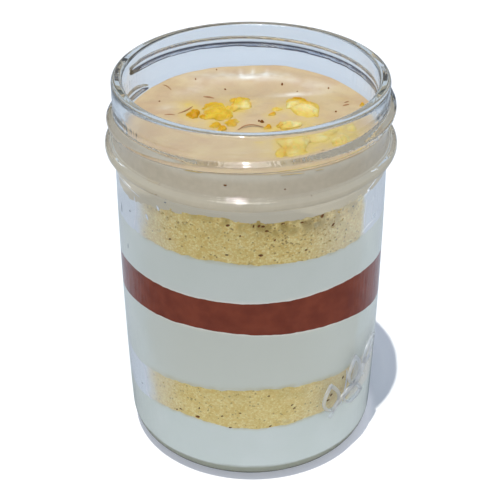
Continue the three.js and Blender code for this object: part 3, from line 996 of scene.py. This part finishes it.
# Name, middle, size (length, width, height), turn, how far its ends curve aside, phase and slot:
# the pieces that have a solid of their own.
TOPPINGS = [
    ("topping_gold", (-10.5, 3.9), (12.2, 8.9, 2.4), 78, 0.5, 0.4, "topping_gold"),
    ("topping_pale", (-3.8, 9.0), (11.4, 6.6, 2.0), 72, 0.9, 2.1, "topping_pale"),
    ("topping_orange", (-17.6, 2.2), (5.4, 3.8, 2.6), 80, 0, 1.2, "topping_gold"),
    ("topping_right", (15.6, 7.6), (16, 8.6, 2.3), 116, 1.6, 3.3, "topping_pale"),
    ("topping_middle", (11.6, -5.0), (7.6, 5.2, 2), 20, 0.8, 5, "topping_pale"),
    ("topping_front", (11.3, -16.6), (13.5, 8.6, 2.4), 112, 1.4, 4.2, "topping_pale"),
    ("topping_edge", (25.6, -14), (7.2, 5.2, 2.2), 55, 0.7, 0.9, "topping_pale"),
]
# Soft ovals over the toppings: middle, half sizes, turn, strength.
AMBER_PARTS = [((-17.5, 2.4), (3.2, 3.0), 0, 1.6), ((-11.6, 8.8), (3.6, 1.5), 20, 0.55),
               ((-14.8, 3.0), (1.2, 1.6), 0, 0.6), ((-8.7, -7.1), (1.8, 1.6), 0, 1.5),
               ((4.9, -6.8), (1.8, 1.6), 0, 1.4), ((-15.0, 1.2), (1.0, 0.9), 0, 1.2),
               ((16.0, 12.0), (4.6, 1.3), 133, 1.3), ((8.2, -5.6), (1.8, 1.6), 30, 0.6),
               ((34.3, 9.6), (2, 2), 0, 0.8), ((14.8, -14.8), (4.2, 1.0), 15, 0.9),
               ((9.4, -19.6), (1.6, 2.2), 70, 1.0), ((26.2, -13.4), (1.2, 2.4), 40, 0.6),
               ((6.6, 2.6), (1.2, 0.6), 35, 0.9), ((-5.8, -3.8), (1.0, 1.6), 20, 0.9),
               ((-10.7, -4.8), (1.4, 1.6), 0, 0.5), ((-14.4, 6.6), (1.4, 1.2), 0, 0.8)]
PALE_PARTS = [((22, -2), (14, 20), 0, 0.35), ((-2.6, 6.0), (3.0, 2.4), 0, 0.7),
              ((-1.4, 8.2), (1.4, 2.6), 0, 0.8), ((16.0, 5.9), (5.6, 1.5), 162, 1.4),
              ((12.6, 9.4), (1.8, 2.4), 0, 0.8), ((13.4, -4.2), (4.4, 2.4), 8, 1.5),
              ((10.6, -13.4), (5.0, 3.4), 40, 0.9), ((17.5, -13.5), (9, 3.2), 14, 0.9),
              ((23.5, -9.0), (7, 4), 30, 0.9), ((28.0, -13.4), (2.6, 2.0), 30, 0.9),
              ((11.6, -22.4), (3, 3), 0, 0.6), ((-14.0, 5.4), (1.4, 1.2), 0, 0.7),
              ((-3.4, -4.4), (1.4, 2.2), 0, 0.9)]
OUTLINE_WAVES = [(0.1, 3), (0.06, 5)]
BELLY = 0.24
SUNK = 0.95  # how far a topping sits in the mousse


def lump(at, size, turn, bend, phase, rows=40, columns=72):
    """A ball stretched to its size, with a wavy outline, a broad low foot and ends that curve
    aside, its surface gently uneven, pressed into the mousse."""
    latitude, around = ball_angles(rows, columns)
    wave = sum(depth * np.sin(count * around + phase * count) for depth, count in OUTLINE_WAVES) + 1
    ball = np.stack(np.broadcast_arrays(np.cos(latitude) * np.cos(around),
                                        np.cos(latitude) * np.sin(around), np.sin(latitude)), -1)
    uneven = 1 + 0.13 * soft_noise(ball + phase, 0.8, 61)
    uneven = uneven + 0.12 * soft_noise(ball + phase, 0.33, 62)
    along = ball[..., 0] * wave * uneven * size[0] / 2
    aside = ball[..., 1] * wave * uneven * size[1] / 2 + bend * (ball[..., 0] ** 2 - 0.5)
    c, s = math.cos(math.radians(turn)), math.sin(math.radians(turn))
    x = at[0] + along * c - aside * s
    y = at[1] + along * s + aside * c
    up = ball[..., 2]
    across = np.stack([x, y, 0 * x], -1)
    dimple = 0.26 * soft_noise(across, 1.9, 64) + 0.14 * soft_noise(across, 0.8, 65)
    rise = np.where(up > 0, BELLY + (1 - BELLY) * up * (uneven + dimple), BELLY * (1 + up))
    z = mousse_height(x, y) - min(SUNK, size[2] * 0.45) + size[2] * rise
    grid = np.stack([x, y, z], -1)
    return closed_grid(grid)


def topping_tones(points):
    """Amber and pale parts, broken up, and the foot, where a piece thins into the mousse."""
    x, y, z = points.T
    broken = 0.85 + 0.5 * soft_noise(points, 1.6, 78)
    tones = oval_tones(points, broken, (("amber", AMBER_PARTS), ("pale", PALE_PARTS)))
    tones["foot"] = ease(0.5, 0.0, z - mousse_height(x, y) + 0.25 * soft_noise(points, 0.9, 79))
    return tones


def on_mousse(x, y, lift):
    """A point on top of the mousse, raised by a little."""
    return [x, y, float(mousse_height(np.array([x]), np.array([y]))[0]) + lift]


def strand(path, width, thin):
    """A tube along a smooth curve through points laid on the mousse as (x, y, lift), thickest in
    the middle, flattened by the given share."""
    t, curve = smooth_curve([on_mousse(*point) for point in path], 14, 2)
    radii = width / 2 * (0.25 + 0.75 * np.sin(np.pi * np.clip(t, 0.02, 0.98)) ** 0.6)
    return swept(curve, radii, 8, thin)


def build_toppings():
    for name, at, size, turn, bend, phase, slot in TOPPINGS:
        points, faces = lump(at, size, turn, bend, phase)
        put_mesh(name + "_piece", points, faces, CANDIED, slot, [name], topping_tones(points))


# Smaller pieces: middle, size, turn, phase.
GOLDEN_BITS = [((-5.8, -3.6), (4.6, 4.0, 2.2), 20, 0.3), ((-10.7, -4.8), (3.6, 3.6, 2.0), 60, 1.7),
               ((6.4, 2.4), (3.0, 1.5, 1.3), 35, 2.2), ((7.9, 6.4), (3.2, 2.4, 1.0), 0, 3.0),
               ((-14.4, 6.6), (1.7, 1.3, 0.9), 30, 2.0), ((9.0, -5.4), (3.4, 2.4, 2.0), 30, 5.1),
               ((14.8, -14.8), (5.2, 2.8, 1.8), 15, 1.1), ((8.6, -21.0), (5.0, 3.0, 1.8), 70, 2.9),
               ((26.8, -11.6), (3.2, 3.0, 1.8), 40, 4.0),
               ((29.0, -15.4), (4.6, 2.4, 1.6), 30, 0.2), ((-8.7, -7.1), (3.0, 3.0, 2.1), 10, 0.8),
               ((4.9, -6.8), (2.7, 2.4, 1.9), 40, 1.9), ((15.8, 12.1), (7.6, 1.5, 2.3), 133, 2.5),
               ((34.3, 9.6), (2.0, 1.3, 1.2), 60, 0.1), ((-14.6, 0.8), (2.6, 2.2, 1.2), 70, 1.2),
               ((-13.2, 6.6), (4.2, 3.0, 1.6), 110, 2.6), ((-12.0, 9.4), (4.6, 2.8, 1.4), 20, 3.7),
               ((-7.0, 6.6), (3.6, 2.6, 1.8), 60, 4.4), ((-6.8, 0.6), (3.2, 2.6, 1.4), 40, 0.7),
               ((19.6, 2.8), (3.2, 2.0, 1.4), 120, 3.9)]
PALE_BITS = [((16.9, 6.4), (8.5, 2.6, 2.7), 150, 0.5), ((-2.4, 12.8), (4.2, 2.9, 1.3), 30, 3.1),
             ((-1.0, 8.0), (3.6, 2.0, 1.6), 80, 4.2), ((-5.6, 12.4), (3.2, 2.4, 1.2), 60, 0.9),
             ((12.0, 8.4), (3.4, 2.4, 1.3), 70, 1.6), ((17.5, -13.5), (11.0, 3.2, 1.3), 14, 1.4),
             ((9.0, -13.2), (4.5, 3.0, 1.3), 50, 2.3), ((23.5, -9.0), (6.5, 2.4, 1.2), 30, 3.3),
             ((2.5, -14.5), (3.4, 2.2, 0.9), 10, 0.7), ((30.0, -6.0), (4.4, 1.8, 1.0), 50, 2.1)]
# Brown strands and flakes lying on the mousse: points as (x, y, lift), width, thinness.
STRANDS = [
    ([(-3.9, -7.9, 0.1), (-2.4, -6.6, 0.5), (-0.6, -5.9, 0.7), (1.6, -6.0, 0.5),
      (3.8, -6.6, 0.2)], 0.46, 0.8),
    ([(-14.9, 15.2, 0.05), (-13.2, 14.9, 0.15), (-11.6, 14.2, 0.05)], 0.68, 0.6),
    ([(-22.3, 3.6, 0.02), (-20.6, 4.8, 0.12), (-19.2, 6.4, 0.15), (-18.0, 8.2, 0.05)], 0.49, 0.6),
    ([(-26.4, 2.5, 0.02), (-24.8, 2.6, 0.1), (-23.2, 2.4, 0.02)], 0.46, 0.5),
    ([(-28.2, 24.2, 0.02), (-27.0, 23.6, 0.1), (-26.0, 22.0, 0.05), (-25.2, 20.2, 0.02)],
     0.41, 0.5),
    ([(6.4, -9.4, 0.02), (8.0, -9.2, 0.1), (9.4, -9.0, 0.02)], 0.74, 0.5),
    ([(28.4, 9.2, 0.02), (29.6, 10.0, 0.1), (30.4, 10.3, 0.02)], 0.68, 0.5),
    ([(29.0, 11.6, 0.02), (30.4, 12.6, 0.08)], 0.54, 0.5),
]
SPECKS = [((3.3, -3.2), 1.3), ((2.4, -2.6), 0.8), ((9.9, 24.5), 0.9), ((-11.2, 35.2), 0.7),
          ((-8.2, 21.3), 0.6), ((26.0, 4.6), 0.7), ((24.6, 21.9), 0.7), ((20.6, -20.2), 0.8),
          ((29.5, -4.0), 0.6), ((-28.5, 12.5), 0.6), ((-4.5, 14.3), 0.5), ((14.6, 20.3), 0.45),
          ((-17.8, 27.3), 0.6)]


def build_small_pieces():
    """Bits, strands and specks on the mousse, one mesh for each kind."""
    for name, bits, slot in (("golden_bits", GOLDEN_BITS, "topping_gold"),
                             ("pale_bits", PALE_BITS, "topping_pale")):
        points, faces = joined([lump(at, size, turn, 0.2, phase, 18, 32)
                                for at, size, turn, phase in bits])
        put_mesh(name, points, faces, CANDIED, slot, tones=topping_tones(points))
    put_mesh("brown_strands", *joined([strand(*given) for given in STRANDS]), STRAND, "chocolate")
    made = [lump(at, (size, size * 0.7, 1.1 * size), 40 * n, 0, n * 1.3, 8, 10)
            for n, (at, size) in enumerate(SPECKS)]
    put_mesh("brown_specks", *joined(made), FLAKE, "chocolate")


def wall_flakes(rows, seed):
    """Small flat flakes against the glass: each a ball squashed against the wall, at an angle and
    height, with its length, width and lean from level, and a random outline."""
    chance = np.random.default_rng(seed)
    latitude, around = ball_angles(6, 8)
    made = []
    for angle, z, length, width, turn in rows:
        lean = math.radians(turn)
        outline = 1 + 0.35 * chance.uniform(-1, 1, (1, 8))
        u = np.cos(latitude) * np.cos(around) * outline * length / 2
        v = np.cos(latitude) * np.sin(around) * outline * width / 2
        across = u * np.cos(lean) - v * np.sin(lean)
        up = u * np.sin(lean) + v * np.cos(lean)
        depth = np.sin(latitude) * 0.16 + 0 * around
        radius = filling_radius(np.full((1, 1), z)) + 0.02 + depth
        grid = place(radius, angle + np.degrees(across / WALL_MARKS_RADIUS), z + up)
        made.append(closed_grid(grid))
    return joined(made)


def wall_smear(path, width, thickness=0.14):
    """A flat ribbon along a smooth curve of (angle, height) on the glass, tapered at its ends."""
    t, curve = smooth_curve(path, 24, 4)
    flat = np.stack([np.radians(curve[:, 0]) * WALL_MARKS_RADIUS, curve[:, 1]], 1)
    course = np.gradient(flat, axis=0)
    course /= np.linalg.norm(course, axis=1, keepdims=True)
    half = width / 2 * (0.2 + 0.8 * np.sin(np.pi * t) ** 0.5)[:, None]
    turn = np.linspace(0, 2 * np.pi, 8, endpoint=False)[None, :]
    across = flat[:, :1] - course[:, 1:] * half * np.cos(turn)
    up = flat[:, 1:] + course[:, :1] * half * np.cos(turn)
    radius = filling_radius(up) + 0.03 + thickness * np.sin(turn)
    grid = place(radius, np.degrees(across / WALL_MARKS_RADIUS), up)
    return closed_grid(grid)


# Flakes that stand out against the glass: angle, height, length, width, lean.
LARGE_FLAKES = [(-36.7, 23.1, 0.8, 0.5, 20), (-34.4, 24.0, 0.9, 0.4, 0),
                (-13.4, 25.6, 0.8, 0.5, 30), (8.1, 34.2, 0.8, 0.5, 10), (47.1, 32.5, 1.0, 0.7, 60),
                (-25.2, 23.2, 1.5, 0.9, 10), (-9.7, 21.4, 1.2, 0.5, 0), (8.8, 21.9, 1.0, 0.5, 30),
                (-24.5, 26.9, 0.9, 0.6, 60), (19.0, 29.2, 0.9, 0.5, 20), (-5, 27.5, 0.9, 0.5, 0),
                (20.0, 27.8, 0.9, 0.6, 50), (39.9, 27.8, 1.1, 0.6, 50), (38.2, 26.3, 1.1, 0.7, 20),
                (-9.7, 95.5, 1.3, 0.9, 15), (3.3, 95.5, 1.2, 0.7, 40), (4.9, 95.4, 1.1, 0.7, 0),
                (1.0, 95.4, 0.9, 0.6, 80), (21.5, 95.2, 0.9, 0.5, 10), (13.2, 95.8, 1.0, 0.5, 0),
                (31.0, 95.8, 1.5, 0.9, 40), (36.5, 91.6, 1.2, 0.7, 30), (6.6, 93.8, 1.0, 0.6, 10),
                (9.9, 90.6, 0.9, 0.5, 70), (23.5, 85.7, 1.0, 0.5, 30), (4.1, 85.8, 1.4, 0.7, -8),
                (-4.5, 92.2, 0.6, 0.5, 0), (-10, 85.6, 1.0, 0.5, 12), (-36.2, 86.8, 0.9, 0.5, 20),
                (-10.5, 108.5, 0.9, 0.6, 10), (-41.0, 102.2, 0.8, 0.4, 0),
                (13.9, 106.9, 0.7, 0.5, 0), (25.6, 100.5, 0.6, 0.5, 0)]
SLATE_MARKS = [(-73.7, 85.5, 3.4, 0.5, 88), (-63.1, 88.3, 0.8, 0.6, 30),
               (-67.5, 74.4, 1.9, 0.4, 84), (-81.4, 86.9, 1.2, 0.5, 90),
               (74.7, 33.1, 1.6, 0.5, 75), (79.5, 23.7, 1.2, 0.5, 80), (47.9, 94.8, 0.7, 0.4, 0),
               (44.0, 88.0, 0.6, 0.4, 40), (-38.0, 98.5, 0.8, 0.25, 10)]
# Thin brown streaks on the glass: points as (angle, height), then width.
BROWN_STREAKS = [([(-48.5, 102.9), (-44.7, 102.6), (-41, 102.3)], 0.3),
                 ([(12, 111.5), (17, 111.4), (22, 111.2)], 0.22),
                 ([(27, 111.2), (31, 111.0)], 0.2),
                 ([(-20, 111.5), (-24, 111.4), (-28, 111.2)], 0.34)]
# Smears of cream, the same way, brighter than the cream, as painted highlight along the film's
# edges. The first, third, fourth and fifth are painted highlights alone: a streak low at the left,
# two glints of air bubbles and a streak at the right.
SMEARS_AND_HIGHLIGHTS = [([(-71.3, 31.2), (-64.2, 33.1), (-60, 32.4), (-57.8, 30.2), (-57.9, 27), (-58.4, 23),
            (-56.9, 20.8), (-54.1, 20.6)], 1.0),
          ([(-81, 95.2), (-72, 96.3), (-62, 96.6), (-54, 96)], 0.45),
          ([(-42.9, 96.6), (-42.3, 95.7), (-41.9, 94.9)], 0.8),
          ([(-50, 91.6), (-49.6, 90.8), (-49, 89.8)], 1.0),
          ([(49.5, 34.6), (50, 31.5), (49.4, 28), (48, 24), (46.6, 21.5)], 0.7),
          ([(55.5, 95.5), (60, 97.2), (66, 98.2)], 0.7),
          ([(55, 83.6), (60, 84.6), (66, 84.4)], 0.5),
          ([(57, 84.5), (56.2, 88), (57.2, 92), (58.6, 95)], 0.8),
          ([(63, 85.6), (62.4, 89), (64, 93)], 0.6),
          ([(-60, 83.4), (-58.6, 87), (-57.2, 91), (-58.6, 95)], 0.7)]


FINE_FLAKE_COUNT = 560


def scattered_flakes(count, seed):
    """Random places for fine flakes over both crumb layers: more at the right of the front and
    towards the top of the upper layer, and none under the film of cream."""
    chance = np.random.default_rng(seed)
    angle = chance.uniform(-180, 180, count)
    angle = np.where(chance.uniform(0, 1, count) < 0.22, chance.normal(22, 15, count), angle)
    upper = (chance.uniform(0, 1, count) < 0.6) | (np.abs(angle - 22) < 22)
    share = chance.uniform(0, 1, count) ** np.where(upper, 0.5, 1)
    x, y = place(WALL_MARKS_RADIUS, angle, 0)[:, :2].T
    low, high = (np.where(upper, boundary_height(above, x, y), boundary_height(below, x, y))
                 for above, below in ((UPPER_CRUMB_BOTTOM, LOWER_CRUMB_BOTTOM),
                                      (UPPER_CRUMB_TOP, LOWER_CRUMB_TOP)))
    length = chance.uniform(0.25, 0.8, count)
    width = length * chance.uniform(0.3, 0.7, count)
    turn = chance.normal(0, 40, count)
    rows = np.stack([angle, low + 0.3 + (high - low - 0.6) * share, length, width, turn], 1)
    return rows[film_over(place(FOOD_RADIUS, rows[:, 0], rows[:, 1])) < 0.3]


def build_flakes():
    put_mesh("large_flakes", *wall_flakes(LARGE_FLAKES, 81), FLAKE, "crumb")
    fine = scattered_flakes(FINE_FLAKE_COUNT, 82)
    put_mesh("fine_flakes", *wall_flakes(fine, 83), FINE_FLAKE, "crumb")
    put_mesh("brown_streaks", *joined([wall_smear(*given, 0.1) for given in BROWN_STREAKS]),
             FINE_FLAKE, "crumb")
    put_mesh("slate_marks", *wall_flakes(SLATE_MARKS, 84), SLATE, "cream")
    # Cream smears with painted highlights and glints on the glass.
    put_mesh("cream_smears_and_highlights", *joined([wall_smear(*given) for given in SMEARS_AND_HIGHLIGHTS]), CREAM_HIGHLIGHT_DAB, "cream")


build_jar()
build_sprig()
build_layers()
build_toppings()
build_small_pieces()
build_flakes()


# ---- floor and light ----

SUN_TOWARDS = Vector((-0.080, -0.24, 0.968))
FLOOR_HALF = 3000
FLOOR_LEVEL = -0.3
# The lamps: name, strength, how many degrees wide they look.
LAMPS = [("sun", 2.65, 0.7), ("glow", 1.0, 30)]
# The sky's colours: how high, and the colour there.
SKY = [(0.0, (0.10, 0.10, 0.11)), (0.1, (0.30, 0.31, 0.32)), (0.22, (0.70, 0.72, 0.76)),
       (0.5, (0.70, 0.74, 0.82)), (0.65, (0.48, 0.56, 0.70)), (1.0, (0.34, 0.445, 0.66))]


def build_floor():
    """A wide white floor. Bounced light and the glass see it duller the farther it is, and
    reflections see it dim, dimmer in front than behind. Right at the jar's foot it glows faintly
    for straight looks: painted light for the light that comes down through the glass base."""
    mesh = bpy.data.meshes.new("floor")
    corners = [(x * FLOOR_HALF * MM, y * FLOOR_HALF * MM, FLOOR_LEVEL * MM)
               for x, y in ((-1, -1), (1, -1), (1, 1), (-1, 1))]
    mesh.from_pydata(corners, [], [(0, 1, 2, 3)])
    floor = bpy.data.objects.new("floor", mesh)
    bpy.context.scene.collection.objects.link(floor)
    material, tree, shader = new_material("pale_floor", Roughness=1.0, Specular_IOR_Level=0.0,
                                          Emission_Strength=1.0)
    path = add_node(tree, "LightPath").outputs
    where = add_node(tree, "TexCoord").outputs["Object"]
    back = add_node(tree, "SeparateXYZ", Vector=where).outputs["Y"]
    away = add_node(tree, "VectorMath", {"operation": "LENGTH"}, _0=where).outputs["Value"]
    shade = opaque(0.86, 0.86, 0.86)
    for ray, way, low, high, near, far in (
            ("Is Diffuse Ray", away, 50, 200, (0.86, 0.90, 0.95), (0.62, 0.62, 0.61)),
            ("Is Glossy Ray", back, -30, 60, (0.12, 0.13, 0.14), (0.36, 0.40, 0.44)),
            ("Is Transmission Ray", away, 300, 700, (0.465, 0.52, 0.585), (0.03, 0.035, 0.05))):
        seen = mixed(tree, stepped(tree, way, low * MM, high * MM), opaque(*near), opaque(*far))
        shade = mixed(tree, path[ray], shade, seen)
    tree.links.new(shade, shader.inputs["Base Color"])
    # A painted glow right at the jar's foot, seen straight only, for light through the glass base.
    foot = maths(tree, "MULTIPLY", stepped(tree, away, 44.5 * MM, 40 * MM), path["Is Camera Ray"])
    tree.links.new(mixed(tree, foot, opaque(0, 0, 0), opaque(0.19, 0.19, 0.205)),
                   shader.inputs["Emission Color"])
    mesh.materials.append(material)


def build_lamps():
    """A hard sun high in front, a little to the left, and a wide soft glow at the same place that
    only reflections see."""
    for name, energy, width in LAMPS:
        light = bpy.data.lights.new(name, "SUN")
        light.energy = energy
        light.color = (1.0, 0.97, 0.92)
        light.angle = math.radians(width)
        lamp = bpy.data.objects.new(name, light)
        lamp.rotation_mode = "QUATERNION"
        lamp.rotation_quaternion = SUN_TOWARDS.to_track_quat("Z", "Y")
        lamp.visible_diffuse = lamp.visible_transmission = name == "sun"
        bpy.context.scene.collection.objects.link(lamp)


def build_sky():
    """A pale blue sky over a dim horizon, brighter to the sides. Seen straight it is white,
    through the glass it is dark low down, and high up a first reflection of it is whiter and
    twice as bright."""
    world = bpy.data.worlds.new("sky")
    bpy.context.scene.world = world
    world.use_nodes = True
    tree = world.node_tree
    backdrop = tree.nodes["Background"]
    where = add_node(tree, "TexCoord").outputs["Generated"]
    direction = add_node(tree, "SeparateXYZ", Vector=where).outputs
    ramp = add_node(tree, "ValToRGB", Fac=direction["Z"])
    stops = ramp.color_ramp.elements
    stops[0].position, stops[1].position = SKY[0][0], SKY[-1][0]
    for position, _ in SKY[1:-1]:
        stops.new(position)
    for stop, (_, colour) in zip(stops, SKY):
        stop.color = opaque(*colour)
    path = add_node(tree, "LightPath").outputs
    first = maths(tree, "MULTIPLY", path["Is Glossy Ray"],
                  maths(tree, "LESS_THAN", path["Ray Depth"], 1.5))
    high = maths(tree, "MULTIPLY", first, stepped(tree, direction["Z"], 0.2, 0.6))
    low = maths(tree, "MULTIPLY", path["Is Transmission Ray"],
                stepped(tree, direction["Z"], 0.7, 0.35))
    seen = ramp.outputs["Color"]
    for share, colour in ((high, (0.62, 0.64, 0.67)), (low, (0.06, 0.08, 0.14)),
                          (path["Is Camera Ray"], (1, 1, 1))):
        seen = mixed(tree, share, seen, opaque(*colour))
    sideways = maths(tree, "ABSOLUTE", direction["X"], 0.0)
    brighter = maths(tree, "MULTIPLY_ADD", sideways, 0.45, 0.8)
    right = maths(tree, "MULTIPLY_ADD", direction["X"], 0.1, brighter)
    shining = maths(tree, "ADD", high, 1.0)
    tree.links.new(maths(tree, "MULTIPLY", right, shining), backdrop.inputs["Strength"])
    tree.links.new(seen, backdrop.inputs["Color"])


build_floor()
build_lamps()
build_sky()
bpy.context.scene.view_settings.view_transform = "Standard"
